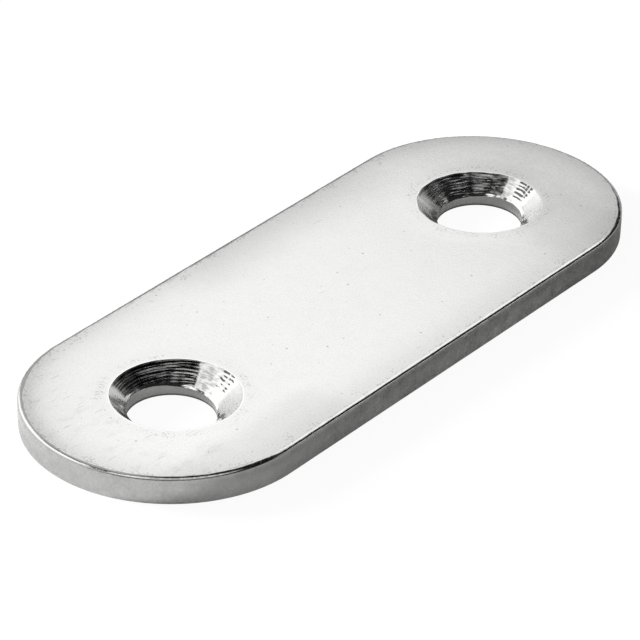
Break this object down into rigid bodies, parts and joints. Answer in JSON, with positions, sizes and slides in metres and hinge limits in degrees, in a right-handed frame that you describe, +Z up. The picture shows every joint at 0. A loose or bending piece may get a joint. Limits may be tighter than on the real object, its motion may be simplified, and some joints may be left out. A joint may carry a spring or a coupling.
{
  "type": "mending plate",
  "caption": "Flat steel mending plate with full round ends and countersunk screw holes on its centre line, for joining boards edge to edge or end to end.",
  "frame": {"origin": "centre of the underside, on the floor the plate lies on, midway between the screw holes", "axes": "+X along the plate's length, from screw_hole_a to screw_hole_b; +Y across its width; +Z up, out of the countersunk face"},
  "size_m": [0.04, 0.015, 0.0015],
  "materials": {
    "plated_steel": "satin, bright plated"
  },
  "bodies": {
    "root": {"plate": "plated_steel"}
  },
  "joints": []
}
